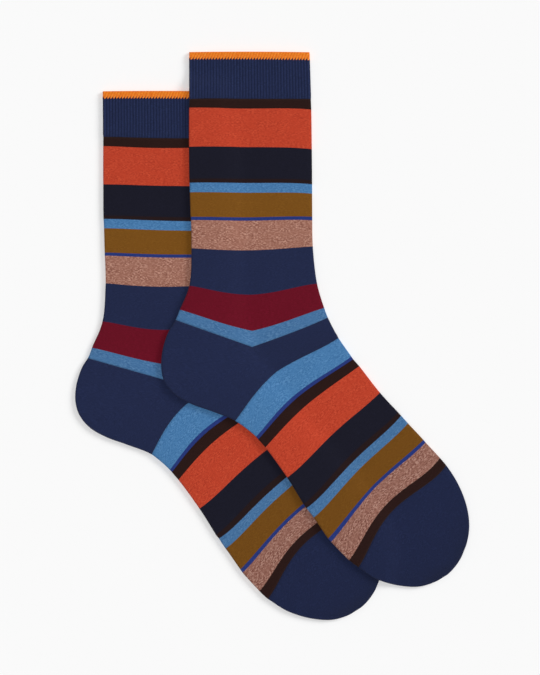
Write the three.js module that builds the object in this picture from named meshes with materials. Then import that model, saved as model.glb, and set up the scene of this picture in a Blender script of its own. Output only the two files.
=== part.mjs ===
// A pair of striped mid-calf socks, laid flat with one sock on the other.
// Millimetres, +Z up. The pair lies on Z = 0 with the cuffs towards +Y and the toes towards +X and -Y.
// Each sock is a knitted tube pressed flat: two walls that lie on each other and turn at two folded edges,
// the back edge (calf, heel and sole) and the front edge (shin and instep).
import * as THREE from 'three';

// Driving sizes.
const WALL = 1.1;
const FOLD = 2.6; // height at a folded edge: two walls and the slit between them
const CROWN_POWER = 2.5; // how late the top falls away towards the folded edges
const SEAM = 0.3; // gap between two knitted pieces
const RIBS = 42; // ribs on the upper face of a cuff
const RIB_RAISE = 0.4;
const EDGING_RAISE = 0.2;
const REST_GAP = 0.35; // clearance between the two socks where one lies on the other
const EDGE_REACH = 2; // how far past the lower sock's edge the upper one still lies at full height
const RAMP = 16; // width over which the upper sock comes down to the surface beside the lower one
const TIP_ROUND = 1.2; // length over which the closed toe rounds down
const TIP_SQUEEZE = 0.5; // height left at the very tip
const COLUMNS = 11; // points across each face
const FOLD_ANGLES = [0, 45];
const UPPER_STEP = 10; // greatest spacing of rings, so that the upper sock bends over the lower one
const LOWER_STEP = 15;
const CUFF_STEP = 5.8;
const SAMPLE_STEP = 3;
const SAMPLE_COLUMNS = 30;
const PATH_DIVISIONS = 40; // parts of a curve from one row to the next, for its length

// Rows of the knitting, from the mouth to the tip of the toe, on the upper sock. Each row has its points on the back
// edge, in the middle and on the front edge, how sharply it bends there (0 is an arc, 1 is a V), how far it sways
// towards the toe halfway to the back and to the front edge, and how far the middle stands above the folded edges.
const ROW_TABLE = [
  // name, back X, back Y, middle X, middle Y, front X, front Y, bend, sway at the back, at the front, crown
  ['mouth', -59.2, 204.4, -16.0, 204.6, 27.3, 204.3, 0, 0, 0, 0.8],
  ['edging_end', -59.2, 199.0, -15.8, 199.0, 27.5, 198.5, 0, 0, 0, 0.8],
  ['cuff_end', -59.1, 170.2, -15.5, 170.6, 28.4, 170.5, 0, -0.2, 0, 0.8],
  ['leg_black', -59.4, 135.8, -15.3, 135.8, 29.1, 134.3, 0, 0, -0.4, 0.8],
  ['leg_royal', -58.2, 85.4, -14.5, 85.2, 29.4, 85.6, 0, 0, -0.4, 0.8],
  ['leg_navy', -57.6, 62.9, -13.8, 61.5, 29.8, 64.3, 0, 0, -0.3, 0.9],
  ['leg_wine', -59.2, 36.0, -13.7, 29.5, 32.9, 37.5, 0.1, -0.4, -1.1, 1],
  ['ankle_sky', -66.0, 18.7, -13.8, 3.4, 38.0, 20.0, 0.7, -0.5, -0.5, 1.2],
  ['heel_start', -69.0, 11.4, -13.9, -8.1, 40.6, 13.1, 0.95, -0.2, 0.5, 1.4],
  ['heel_1', -74.3, 2.6, -13.3, -9.9, 41.9, 10.5, 0.85, -0.2, 0.6, 1.5],
  ['heel_2', -78.1, -8.8, -12.2, -11.7, 42.8, 8.6, 0.75, -0.2, 0.7, 1.6],
  ['heel_3', -79.4, -20.3, -10.8, -13.7, 43.8, 6.6, 0.65, -0.2, 0.8, 1.6],
  ['heel_4', -77.6, -32.0, -9.0, -15.7, 44.8, 4.8, 0.55, -0.2, 0.9, 1.6],
  ['heel_5', -70.4, -41.6, -6.5, -18.0, 45.7, 3.0, 0.45, -0.2, 1.1, 1.5],
  ['heel_6', -58.6, -48.7, -3.6, -20.6, 46.8, 1.2, 0.4, -0.2, 1.2, 1.4],
  ['heel_7', -42.9, -54.4, 0.0, -23.5, 47.7, -0.4, 0.35, -0.2, 1.3, 1.3],
  ['foot_start', -26.1, -61.3, 3.8, -25.8, 48.3, -1.6, 0.3, 0, 1.4, 1.2],
  ['foot_rust', -4.4, -80.4, 24.7, -50.5, 63.3, -21.9, 0.1, 0.2, 0.3, 1],
  ['foot_black', 11.3, -102.1, 44.5, -70.6, 78.2, -41.0, 0, 0.8, 0.3, 0.9],
  ['foot_ochre', 30.4, -130.9, 62.9, -96.5, 98.4, -63.1, 0, 0.7, 0.6, 0.9],
  ['foot_royal_line', 40.8, -146.1, 73.1, -108.0, 109.6, -75.1, 0.1, 0.4, 0.6, 1],
  ['toe_start', 62.5, -166.6, 87.2, -126.1, 125.9, -93.3, 0, 0.5, 2.7, 1.1],
  ['toe_1', 72.4, -173.6, 96.1, -134.1, 132.4, -102.9, 0.2, 0.4, 1.5, 1.2],
  ['toe_2', 83.2, -178.0, 107.6, -143.8, 138.0, -114.5, 0.1, 0, 0.5, 1.1],
  ['toe_3', 94.7, -180.5, 117.4, -152.5, 141.5, -126.1, 0.1, 0, 0, 0.9],
  ['toe_4', 106.9, -180.8, 125.1, -160.0, 142.6, -138.4, 0, 0, 0, 0.6],
  ['toe_5', 118.6, -177.1, 130.1, -163.8, 140.7, -149.8, 0, 0, 0, 0.3],
  ['tip', 127.0, -172.1, 132.5, -166.4, 137.0, -159.4, 0, 0, 0, 0],
];

// Knitted pieces of one sock, from one row to another.
const PIECES = [
  { name: 'edging', from: 'mouth', to: 'edging_end', colour: 0xe17a2b, raise: EDGING_RAISE },
  { name: 'cuff', from: 'edging_end', to: 'cuff_end', colour: 0x242b49, ribs: RIBS },
  { name: 'leg', from: 'cuff_end', to: 'heel_start', colour: 0xb8412c },
  { name: 'heel', from: 'heel_start', to: 'foot_start', colour: 0x242b47 },
  { name: 'foot', from: 'foot_start', to: 'toe_start', colour: 0x4371a1 },
  { name: 'toe', from: 'toe_start', to: 'tip', colour: 0x212843, closed: true },
];

// The lower sock is moved against the upper one and a little less stretched along the leg.
const LOWER_MOVE = new THREE.Vector2(-62.1, -25.7);
const LOWER_SHORTENING = 0.0125;
// Its rows also slide a little towards the toe at the back edge, in the middle and at the front edge, and the last
// number is how much further out its back edge lies.
const LOWER_TABLE = [
  ['mouth', 0, 0, 0, 0.2],
  ['edging_end', 0, 0, 0, 0.2],
  ['cuff_end', -1, 0.5, 0, 0.1],
  ['leg_black', -0.6, 0.5, 0.6, -0.2],
  ['leg_royal', -1.2, 0, 1.2, -0.1],
  ['leg_navy', -1.4, -0.2, 0.6, -0.1],
  ['leg_wine', -0.5, -0.7, 0, 0.7],
  ['ankle_sky', 1.6, -1.5, 0, 0.8],
  ['heel_start', 1.9, -1.7, 0, 0.4],
  ['heel_1', 1.8, -1.9, 0, 0.3],
  ['heel_2', 1.6, -2.2, 0, 0.3],
  ['heel_3', 1.4, -2.4, 0, 0],
  ['heel_4', 1.3, -2.6, 0, -1.3],
  ['heel_5', 1.1, -2.9, 0, -1.6],
  ['heel_6', 1, -3.1, 0, -1.7],
  ['heel_7', 0.8, -3.4, 0, -1.4],
  ['foot_start', 0.7, -3.6, 0, -1.6],
  ['foot_rust', -1.2, -2.1, -0.4, -0.3],
  ['foot_black', -2.2, -1.1, 0, -0.1],
  ['foot_ochre', -2, -0.6, 0.2, 0.2],
  ['foot_royal_line', -1.8, -0.4, 0.1, 0],
  ['toe_start', -2.6, -1.3, 0, 1.4],
  ['toe_1', -2.2, -1.1, 0, 0.8],
  ['toe_2', -1.7, -0.9, 0, 0.6],
  ['toe_3', -1.3, -0.7, 0, 0.6],
  ['toe_4', -0.9, -0.4, 0, 0.6],
  ['toe_5', -0.4, -0.2, 0, 0.8],
  ['tip', 0, 0, 0, 0],
];

const rowNumber = (name) => ROW_TABLE.findIndex((row) => row[0] === name);
const column = (k) => ROW_TABLE.map((row) => row[k]);

// A smooth curve through one point of every row.
function makePath(x, y) {
  const points = ROW_TABLE.map((row) => new THREE.Vector3(row[x], row[y], 0));
  const curve = new THREE.CatmullRomCurve3(points, false, 'centripetal');
  curve.arcLengthDivisions = PATH_DIVISIONS * (points.length - 1);
  return curve;
}
const paths = { back: makePath(1, 2), middle: makePath(3, 4), front: makePath(5, 6) };

// The value at a row number t, which may be a fraction, between values that are given at some row numbers.
function between(t, numbers, values) {
  if (t <= numbers[0]) return values[0];
  const k = Math.min(numbers.findIndex((number) => number >= t), numbers.length - 1);
  if (k < 0) return values.at(-1);
  const share = (t - numbers[k - 1]) / (numbers[k] - numbers[k - 1]);
  return THREE.MathUtils.lerp(values[k - 1], values[k], share);
}

// The point of a curve at row number t, moved on along it by a distance.
function pointAlong(curve, t, distance) {
  const lengths = curve.getLengths();
  const place = t * PATH_DIVISIONS;
  const k = Math.min(Math.floor(place), lengths.length - 2);
  const length = THREE.MathUtils.lerp(lengths[k], lengths[k + 1], place - k) + distance;
  const total = lengths.at(-1);
  const p = curve.getPoint(curve.getUtoTmapping(THREE.MathUtils.clamp(length / total, 0, 1)));
  return new THREE.Vector2(p.x, p.y);
}

// A sock's row at row number t.
function makeRowFinder({ slides = [['mouth', 0, 0, 0, 0]], settle = (p) => p }) {
  const everyRow = ROW_TABLE.map((row, k) => k);
  const slideRows = slides.map(([name]) => rowNumber(name));
  const slideColumn = (k) => slides.map((row) => row[k]);
  return (t) => {
    const [back, middle, front] = ['back', 'middle', 'front'].map((side, k) =>
      settle(pointAlong(paths[side], t, between(t, slideRows, slideColumn(k + 1)))),
    );
    back.add(back.clone().sub(front).setLength(between(t, slideRows, slideColumn(4))));
    const [bend, swayBack, swayFront, crown] = [7, 8, 9, 10].map((k) => between(t, everyRow, column(k)));
    return { back, middle, front, bend, swayBack, swayFront, crown };
  };
}

// The row moved the same distance towards another one at each of its points.
function shiftRow(row, towards, distance) {
  const shift = (p, q) => p.clone().add(q.clone().sub(p).setLength(distance));
  return {
    ...row,
    back: shift(row.back, towards.back),
    middle: shift(row.middle, towards.middle),
    front: shift(row.front, towards.front),
  };
}

// 1 at u = -0.5, and 0 at both edges, in the middle and at u = 0.5.
const hump = (u) => (u * (u * u - 1) * (u - 0.5)) / -0.375;

// The point of a row at u, from -1 on the back edge to 1 on the front edge.
function pointAcross(row, u) {
  const chord = row.back.clone().lerp(row.front, (1 + u) / 2);
  const rise = row.middle.clone().sub(row.back.clone().lerp(row.front, 0.5));
  const arc = (1 - row.bend) * (1 - u * u) + row.bend * (1 - Math.abs(u));
  const across = row.front.clone().sub(row.back).normalize();
  const onward = new THREE.Vector2(across.y, -across.x);
  const sway = row.swayBack * hump(u) + row.swayFront * hump(-u);
  return chord.addScaledVector(rise, arc).addScaledVector(onward, sway);
}

const topHeight = (row, u) => FOLD + row.crown * (1 - Math.abs(u) ** CROWN_POWER);

// One closed loop round the tube at a row. The inset is 0 on the outer face and the wall on the inner one.
function makeLoop(row, { inset = 0, raise = 0, ribs = 0, squeeze = 1, lift }) {
  const width = row.back.distanceTo(row.front);
  const foldCentre = FOLD / 2;
  const foldRadius = foldCentre - inset;
  const loop = [];
  const add = (distance, z, side) => {
    const u = (2 * distance) / width - 1;
    const p = pointAcross(row, u);
    const height = foldCentre + (z - foldCentre) * squeeze;
    const share = side > 0 ? (1 + u) / 4 : 1 - (1 + u) / 4;
    loop.push({ share, position: new THREE.Vector3(p.x, p.y, height + lift(p.x, p.y)) });
  };
  const addFold = (side, atFront) => {
    const angles = FOLD_ANGLES.filter((degrees) => side > 0 || degrees > 0);
    const inOrder = side > 0 === atFront ? [...angles].reverse() : angles;
    for (const degrees of inOrder) {
      const angle = THREE.MathUtils.degToRad(degrees);
      const out = foldRadius * Math.cos(angle);
      const distance = atFront ? width - foldCentre + out : foldCentre - out;
      add(distance, foldCentre + side * foldRadius * Math.sin(angle), side);
    }
  };
  const addFace = (side, count) => {
    for (let i = 0; i < count; i++) {
      const share = side > 0 ? i / (count - 1) : 1 - i / (count - 1);
      const distance = foldCentre + share * (width - 2 * foldCentre);
      const ridge = ribs && i % 2 ? RIB_RAISE : 0;
      const top = topHeight(row, (2 * distance) / width - 1) - inset + raise + ridge;
      add(distance, side > 0 ? top : inset, side);
    }
  };
  addFold(1, false);
  addFace(1, ribs ? 2 * ribs + 1 : COLUMNS);
  addFold(1, true);
  addFold(-1, true);
  addFace(-1, COLUMNS);
  addFold(-1, false);
  return loop;
}

// Joins two loops with triangles, going round both by each point's share of the way.
function stitch(triangles, a, b) {
  let i = 0;
  let j = 0;
  const at = (loop, k) => (k < loop.length ? loop[k].share : 1);
  while (i < a.length || j < b.length) {
    const onA = j === b.length || (i < a.length && at(a, i + 1) <= at(b, j + 1));
    const from = a[i % a.length];
    const across = b[j % b.length];
    if (onA) {
      triangles.push([from, across, a[(i + 1) % a.length]]);
      i += 1;
    } else {
      triangles.push([from, across, b[(j + 1) % b.length]]);
      j += 1;
    }
  }
}

// Closes the end of a flat loop by joining its upper points to its lower ones.
function closeLoop(triangles, loop, outwards) {
  const n = loop.length;
  const push = (p, q, r) => triangles.push(outwards ? [p, q, r] : [p, r, q]);
  for (let i = 0; i < n / 2; i++) {
    const [topA, topB, lowB, lowA] = [loop[i], loop[i + 1], loop[n - 1 - i], loop[(n - i) % n]];
    if (topA !== lowA) push(topA, lowA, lowB);
    if (topB !== lowB) push(topA, lowB, topB);
  }
}

function makeWall(outer, inner, closed) {
  const triangles = [];
  for (let k = 0; k + 1 < outer.length; k++) stitch(triangles, outer[k], outer[k + 1]);
  for (let k = 0; k + 1 < inner.length; k++) stitch(triangles, inner[k + 1], inner[k]);
  stitch(triangles, inner[0], outer[0]);
  if (closed) {
    closeLoop(triangles, outer.at(-1), true);
    closeLoop(triangles, inner.at(-1), false);
  } else {
    stitch(triangles, outer.at(-1), inner.at(-1));
  }
  const points = [...outer.flat(), ...inner.flat()];
  const numberOf = new Map(points.map((point, index) => [point, index]));
  const geometry = new THREE.BufferGeometry();
  geometry.setAttribute(
    'position',
    new THREE.Float32BufferAttribute(points.flatMap((point) => point.position.toArray()), 3),
  );
  geometry.setIndex(triangles.flat().map((point) => numberOf.get(point)));
  geometry.computeVertexNormals();
  return geometry;
}

// Row numbers from one row to another, so that the rows are no further apart than the step.
function rowNumbers(rowAt, first, last, step) {
  const numbers = [];
  for (let k = first; k < last; k++) {
    const [a, b] = [rowAt(k), rowAt(k + 1)];
    const spacing = Math.max(a.back.distanceTo(b.back), a.front.distanceTo(b.front));
    const count = Math.ceil(spacing / step);
    for (let i = 0; i < count; i++) numbers.push(k + i / count);
  }
  return [...numbers, last];
}

// The rows of one piece, with half a seam's gap at each end.
function rowsOfPiece(rowAt, piece, step) {
  const all = rowNumbers(rowAt, rowNumber(piece.from), rowNumber(piece.to), step).map(rowAt);
  const startGap = piece.from === 'mouth' ? 0 : SEAM / 2;
  const endGap = piece.closed ? 0 : SEAM / 2;
  const n = all.length - 1;
  const start = startGap ? shiftRow(all[0], all[1], startGap) : all[0];
  const end = endGap ? shiftRow(all[n], all[n - 1], endGap) : all[n];
  return [start, ...all.slice(1, n), end];
}

function makePiece(sock, piece) {
  const step = piece.ribs ? Math.min(sock.step, sock.cuffStep) : sock.step;
  const along = rowsOfPiece(sock.rowAt, piece, step);
  const { raise = 0, ribs = 0, closed = false } = piece;
  const lift = sock.lift;
  const outer = along.map((row) => makeLoop(row, { raise, ribs, lift }));
  const inner = along.map((row) => makeLoop(row, { inset: WALL, lift }));
  if (closed) {
    const [beforeTip, tip] = along.slice(-2);
    const shoulder = shiftRow(tip, beforeTip, TIP_ROUND);
    const innerTip = shiftRow(tip, beforeTip, TIP_ROUND + WALL / 2);
    outer.splice(-1, 1, makeLoop(shoulder, { lift }), makeLoop(tip, { squeeze: TIP_SQUEEZE, lift }));
    inner.splice(-1, 1, makeLoop(innerTip, { inset: WALL, lift }));
  }
  const material = new THREE.MeshStandardMaterial({ color: piece.colour, roughness: 0.88, metalness: 0 });
  const mesh = new THREE.Mesh(makeWall(outer, inner, closed), material);
  mesh.name = `${sock.name}_${piece.name}`;
  return mesh;
}

// Points over the top of the lower sock, which the upper one is laid on.
function sampleTop(rowAt) {
  const points = [];
  for (const t of rowNumbers(rowAt, 0, rowNumber('tip'), SAMPLE_STEP)) {
    const row = rowAt(t);
    const raise = t <= rowNumber('cuff_end') ? RIB_RAISE : 0;
    for (let j = 0; j <= SAMPLE_COLUMNS; j++) {
      const u = (2 * j) / SAMPLE_COLUMNS - 1;
      const p = pointAcross(row, u);
      points.push(new THREE.Vector3(p.x, p.y, topHeight(row, u) + raise));
    }
  }
  return points;
}

// How high the upper sock's underside lies at a place: on the lower sock, or coming down beside it.
function makeLift(samples) {
  return (x, y) => {
    let height = 0;
    for (const sample of samples) {
      const distance = Math.hypot(sample.x - x, sample.y - y);
      if (distance > EDGE_REACH + RAMP) continue;
      const fall = 1 - THREE.MathUtils.smoothstep(distance, EDGE_REACH, EDGE_REACH + RAMP);
      height = Math.max(height, (sample.z + REST_GAP) * fall);
    }
    return height;
  };
}

const upperRowAt = makeRowFinder({});
const lowerRowAt = makeRowFinder({
  slides: LOWER_TABLE,
  settle: (p) => p.multiply(new THREE.Vector2(1, 1 - LOWER_SHORTENING)).add(LOWER_MOVE),
});
const socks = [
  { name: 'lower', rowAt: lowerRowAt, step: LOWER_STEP, cuffStep: LOWER_STEP, lift: () => 0 },
  { name: 'upper', rowAt: upperRowAt, step: UPPER_STEP, cuffStep: CUFF_STEP, lift: makeLift(sampleTop(lowerRowAt)) },
];

const pair = new THREE.Group();
for (const sock of socks) {
  for (const piece of PIECES) pair.add(makePiece(sock, piece));
}

// The origin is on the surface, under the middle of the pair's box.
const box = new THREE.Box3().setFromObject(pair);
const centre = box.getCenter(new THREE.Vector3());
pair.position.set(-centre.x, -centre.y, 0);

export default pair;
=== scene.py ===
# %% [markdown]
# # A pair of striped socks, laid flat
# Two mid-calf cotton socks lie on a pale surface, one partly on the other. A sock is a knitted tube: it is pressed
# flat here, so each one is two walls that lie on each other and turn at two folded edges. The frame comes first,
# with its solids at their real size, and every knitted piece below takes the place of one of them.

# %% The frame
import math

import bmesh
import bpy
import numpy as np
from mathutils.kdtree import KDTree
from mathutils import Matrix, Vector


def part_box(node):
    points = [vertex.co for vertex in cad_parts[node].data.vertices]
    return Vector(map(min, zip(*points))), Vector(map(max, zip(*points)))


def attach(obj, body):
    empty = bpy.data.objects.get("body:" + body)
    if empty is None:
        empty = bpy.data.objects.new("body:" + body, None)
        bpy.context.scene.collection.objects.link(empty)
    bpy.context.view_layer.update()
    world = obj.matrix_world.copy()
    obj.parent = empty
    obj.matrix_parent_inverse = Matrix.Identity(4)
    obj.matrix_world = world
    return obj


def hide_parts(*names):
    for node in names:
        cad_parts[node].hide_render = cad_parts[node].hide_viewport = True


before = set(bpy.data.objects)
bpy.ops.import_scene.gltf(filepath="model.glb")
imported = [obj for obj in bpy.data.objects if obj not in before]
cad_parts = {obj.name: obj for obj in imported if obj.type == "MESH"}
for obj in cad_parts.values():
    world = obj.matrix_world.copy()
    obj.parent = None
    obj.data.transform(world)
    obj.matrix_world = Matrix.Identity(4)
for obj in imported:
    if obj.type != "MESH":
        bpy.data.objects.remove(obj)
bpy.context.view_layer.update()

# %% [markdown]
# ## Sizes
# All sizes are in millimetres, as a knitter would note them, and one factor turns them into Blender's metres. A
# cuff has 84 ribs round, which a cylinder of 168 needles makes, so a column of stitches (a wale) is 1.03 mm wide.
# A row of stitches (a course) is about 0.75 mm high.

# %% Driving sizes
MM = 0.001
WALL = 1.1
FOLD = 2.6
CROWN_POWER = 2.5
CUFF_WIDTH = 86.4
NEEDLES = 168
WALES_PER_RIB = 2
RIBS_ROUND = NEEDLES / WALES_PER_RIB
COURSE = 0.75
RIB_RAISE = 0.4
RIB_SINK = 0.3
EDGING_RAISE = 0.2

# %% [markdown]
# ## The rows of a sock
# A sock is easiest to describe by its rows of knitting. Each line below is one row on the upper sock: where it
# meets the back edge, its middle and the front edge, how sharply it bends there (0 is an arc, 1 is a V), how far its
# middle stands above the folded edges, and how far it sways towards the toe halfway from the middle to the back and
# to the front edge. Every band of colour starts on a row, so the bands need no lines of their own. The heel is where
# the rows fan out: they lie close on the instep and far apart round the back.

# %% Rows from the mouth to the tip of the toe
ROWS = [
    # name, back edge, middle, front edge, bend, crown, sway
    ("mouth", (-59.2, 204.4), (-16.0, 204.6), (27.3, 204.3), 0, 0.8, (0.0, 0.0)),
    ("edging_end", (-59.2, 199.0), (-15.8, 199.0), (27.5, 198.5), 0, 0.8, (0.0, 0.0)),
    ("cuff_end", (-59.1, 170.2), (-15.5, 170.6), (28.4, 170.5), 0, 0.8, (-0.2, 0.0)),
    ("leg_rust", (-59.3, 163.9), (-15.5, 163.5), (28.7, 162.8), 0, 0.8, (0.0, -0.5)),
    ("leg_black", (-59.4, 135.8), (-15.3, 135.8), (29.1, 134.3), 0, 0.8, (0.0, -0.4)),
    ("leg_brown", (-59.2, 112.7), (-15.0, 112.9), (29.3, 111.8), 0, 0.8, (0.0, -0.4)),
    ("leg_sky", (-59.0, 109.9), (-15.0, 109.9), (29.3, 109.0), 0, 0.8, (0.0, -0.4)),
    ("leg_ochre", (-58.8, 103.1), (-14.8, 102.9), (29.3, 102.3), 0, 0.8, (0.0, -0.4)),
    ("leg_royal", (-58.2, 85.4), (-14.5, 85.2), (29.4, 85.6), 0, 0.8, (0.0, -0.4)),
    ("leg_heather", (-58.0, 83.1), (-14.4, 82.8), (29.4, 83.1), 0, 0.8, (0.0, -0.4)),
    ("leg_navy", (-57.6, 62.9), (-13.8, 61.5), (29.8, 64.3), 0, 0.9, (0.0, -0.3)),
    ("leg_wine", (-59.2, 36.0), (-13.7, 29.5), (32.9, 37.5), 0.1, 1, (-0.4, -1.1)),
    ("ankle_sky", (-66.0, 18.7), (-13.8, 3.4), (38.0, 20.0), 0.7, 1.2, (-0.5, -0.5)),
    ("heel_start", (-69.0, 11.4), (-13.9, -8.1), (40.6, 13.1), 0.95, 1.4, (-0.2, 0.5)),
    ("heel_1", (-74.3, 2.6), (-13.3, -9.9), (41.9, 10.5), 0.85, 1.5, (-0.2, 0.6)),
    ("heel_2", (-78.1, -8.8), (-12.2, -11.7), (42.8, 8.6), 0.75, 1.6, (-0.2, 0.7)),
    ("heel_3", (-79.4, -20.3), (-10.8, -13.7), (43.8, 6.6), 0.65, 1.6, (-0.2, 0.8)),
    ("heel_4", (-77.6, -32.0), (-9.0, -15.7), (44.8, 4.8), 0.55, 1.6, (-0.2, 0.9)),
    ("heel_5", (-70.4, -41.6), (-6.5, -18.0), (45.7, 3.0), 0.45, 1.5, (-0.2, 1.1)),
    ("heel_6", (-58.6, -48.7), (-3.6, -20.6), (46.8, 1.2), 0.4, 1.4, (-0.2, 1.2)),
    ("heel_7", (-42.9, -54.4), (0.0, -23.5), (47.7, -0.4), 0.35, 1.3, (-0.2, 1.3)),
    ("foot_start", (-26.1, -61.3), (3.8, -25.8), (48.3, -1.6), 0.3, 1.2, (0.0, 1.4)),
    ("foot_royal", (-11.1, -72.7), (16.9, -42.6), (57.6, -15.0), 0, 1.1, (0.5, 0.7)),
    ("foot_brown", (-9.5, -74.6), (18.5, -44.7), (58.9, -16.9), 0.1, 1.1, (0.4, 0.4)),
    ("foot_rust", (-4.4, -80.4), (24.7, -50.5), (63.3, -21.9), 0.1, 1, (0.2, 0.3)),
    ("foot_black", (11.3, -102.1), (44.5, -70.6), (78.2, -41.0), 0, 0.9, (0.8, 0.3)),
    ("foot_brown_line", (23.1, -121.2), (55.7, -87.4), (91.3, -55.2), 0, 0.9, (0.9, 0.5)),
    ("foot_sky", (25.1, -124.1), (58.2, -91.2), (93.5, -57.6), 0, 0.9, (0.9, 0.5)),
    ("foot_ochre", (30.4, -130.9), (62.9, -96.5), (98.4, -63.1), 0, 0.9, (0.7, 0.6)),
    ("foot_royal_line", (40.8, -146.1), (73.1, -108.0), (109.6, -75.1), 0.1, 1, (0.4, 0.6)),
    ("foot_heather", (42.9, -148.4), (74.6, -109.6), (111.1, -76.9), 0.1, 1, (0.5, 0.9)),
    ("foot_brown_end", (55.8, -161.5), (83.3, -120.9), (121.3, -87.9), 0, 1.1, (0.5, 2.5)),
    ("toe_start", (62.5, -166.6), (87.2, -126.1), (125.9, -93.3), 0, 1.1, (0.5, 2.7)),
    ("toe_1", (72.4, -173.6), (96.1, -134.1), (132.4, -102.9), 0.2, 1.2, (0.4, 1.5)),
    ("toe_2", (83.2, -178.0), (107.6, -143.8), (138.0, -114.5), 0.1, 1.1, (0.0, 0.5)),
    ("toe_3", (94.7, -180.5), (117.4, -152.5), (141.5, -126.1), 0.1, 0.9, (0.0, 0.0)),
    ("toe_4", (106.9, -180.8), (125.1, -160.0), (142.6, -138.4), 0, 0.6, (0.0, 0.0)),
    ("toe_5", (118.6, -177.1), (130.1, -163.8), (140.7, -149.8), 0, 0.3, (0.0, 0.0)),
    ("tip", (127.0, -172.1), (132.5, -166.4), (137.0, -159.4), 0, 0, (0.0, 0.0)),
]
row_number = {row[0]: number for number, row in enumerate(ROWS)}
edge_paths = {side: np.array([row[1 + k] for row in ROWS]) for k, side in enumerate(("back", "middle", "front"))}
bends = np.array([row[4] for row in ROWS])
crowns = np.array([row[5] for row in ROWS])
sways = np.array([row[6] for row in ROWS])
print(len(ROWS), "rows")

# %% [markdown]
# The rows are measured from the middle of the pair. The solids stand in the frame already, so one corner of one of
# them says where that middle is, and nothing has to be fitted by eye.

# %% Where the rows stand in the frame
low_corner, high_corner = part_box("upper_edging")
MIDDLE = np.array([low_corner[0] / MM - ROWS[0][1][0], high_corner[1] / MM - ROWS[0][2][1]])
print("middle of the rows in the frame, mm:", MIDDLE.round(3))

# %% [markdown]
# ## A smooth sock from its rows
# Between two rows the edges have to run on smoothly. A centripetal Catmull-Rom curve goes through every measured
# point and doesn't swing out where two rows are close together, as they are at a thin line of colour.

# %% Curves along the sock and across it
def smooth_path(points, t):
    """Points of a curve through the given ones, at row numbers t, which may be fractions."""
    ends = np.vstack([2 * points[0] - points[1], points, 2 * points[-1] - points[-2]])
    k = np.clip(np.floor(t).astype(int), 0, len(points) - 2)
    w = (t - k)[:, None]
    p0, p1, p2, p3 = (ends[k + i] for i in range(4))
    d0, d1, d2 = (np.sqrt(np.linalg.norm(b - a, axis=1))[:, None] for a, b in ((p0, p1), (p1, p2), (p2, p3)))
    leave = d1 * ((p1 - p0) / d0 - (p2 - p0) / (d0 + d1) + (p2 - p1) / d1)
    arrive = d1 * ((p2 - p1) / d1 - (p3 - p1) / (d1 + d2) + (p3 - p2) / d2)
    return p1 + w * leave + w**2 * (3 * (p2 - p1) - 2 * leave - arrive) + w**3 * (2 * (p1 - p2) + leave + arrive)


FINE = np.linspace(0, len(ROWS) - 1, 40 * (len(ROWS) - 1) + 1)


def slid_path(points, t, distance):
    """Points of the curve at row numbers t, moved on along it by a distance each."""
    line = smooth_path(points, FINE)
    along = np.concatenate([[0], np.cumsum(np.linalg.norm(np.diff(line, axis=0), axis=1))])
    return smooth_path(points, np.interp(np.interp(t, FINE, along) + distance, along, FINE))


def rows_at(sock, t):
    """The rows of a sock at row numbers t, as arrays."""
    t = np.asarray(t, float)
    numbers = np.arange(len(ROWS))
    slides = [row_number[line[0]] for line in sock["slide"]]
    found = {}
    for k, (side, points) in enumerate(edge_paths.items()):
        slide = np.interp(t, slides, [line[1 + k] for line in sock["slide"]])
        found[side] = sock["settle"](slid_path(points, t, slide))
    outward = found["back"] - found["front"]
    fullness = np.interp(t, [row_number[row] for row, _ in sock["fullness"]], [mm for _, mm in sock["fullness"]])
    found["back"] = found["back"] + outward / np.linalg.norm(outward, axis=1)[:, None] * fullness[:, None]
    found["bend"] = np.interp(t, numbers, bends)
    found["crown"] = np.interp(t, numbers, crowns)
    found["sway"] = np.column_stack([np.interp(t, numbers, sways[:, k]) for k in (0, 1)])
    return found


def hump(u):
    """1 at u = -0.5, and 0 at both edges, in the middle and at u = 0.5."""
    return u * (u**2 - 1) * (u - 0.5) / -0.375


def plan_of(rows, u):
    """Where a row's points lie at u, from -1 on the back edge to 1 on the front edge."""
    back, middle, front = (rows[side][:, None, :] for side in ("back", "middle", "front"))
    bend = rows["bend"][:, None]
    arc = (1 - bend) * (1 - u**2) + bend * (1 - np.abs(u))
    share = ((1 + u) / 2)[..., None]
    chord = front - back
    onward = np.stack([chord[..., 1], -chord[..., 0]], -1) / np.linalg.norm(chord, axis=-1)[..., None]
    sway = rows["sway"][:, :1] * hump(u) + rows["sway"][:, 1:] * hump(-u)
    return (back * (1 - share) + front * share + (middle - (back + front) / 2) * arc[..., None]
            + onward * sway[..., None])


# %% [markdown]
# ## The two socks
# Both socks come from the same rows. The lower one is moved to the left and down, and was stretched a little less as
# it was laid out. No two socks are knitted quite alike, so its rows slide along it by a millimetre or two, and by
# another amount at the back edge than in the middle, which slants and bows them.

# %% How each sock lies
LOWER_MOVE = np.array([-62.1, -25.7])
LOWER_SHORTENING = 0.0125
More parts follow.
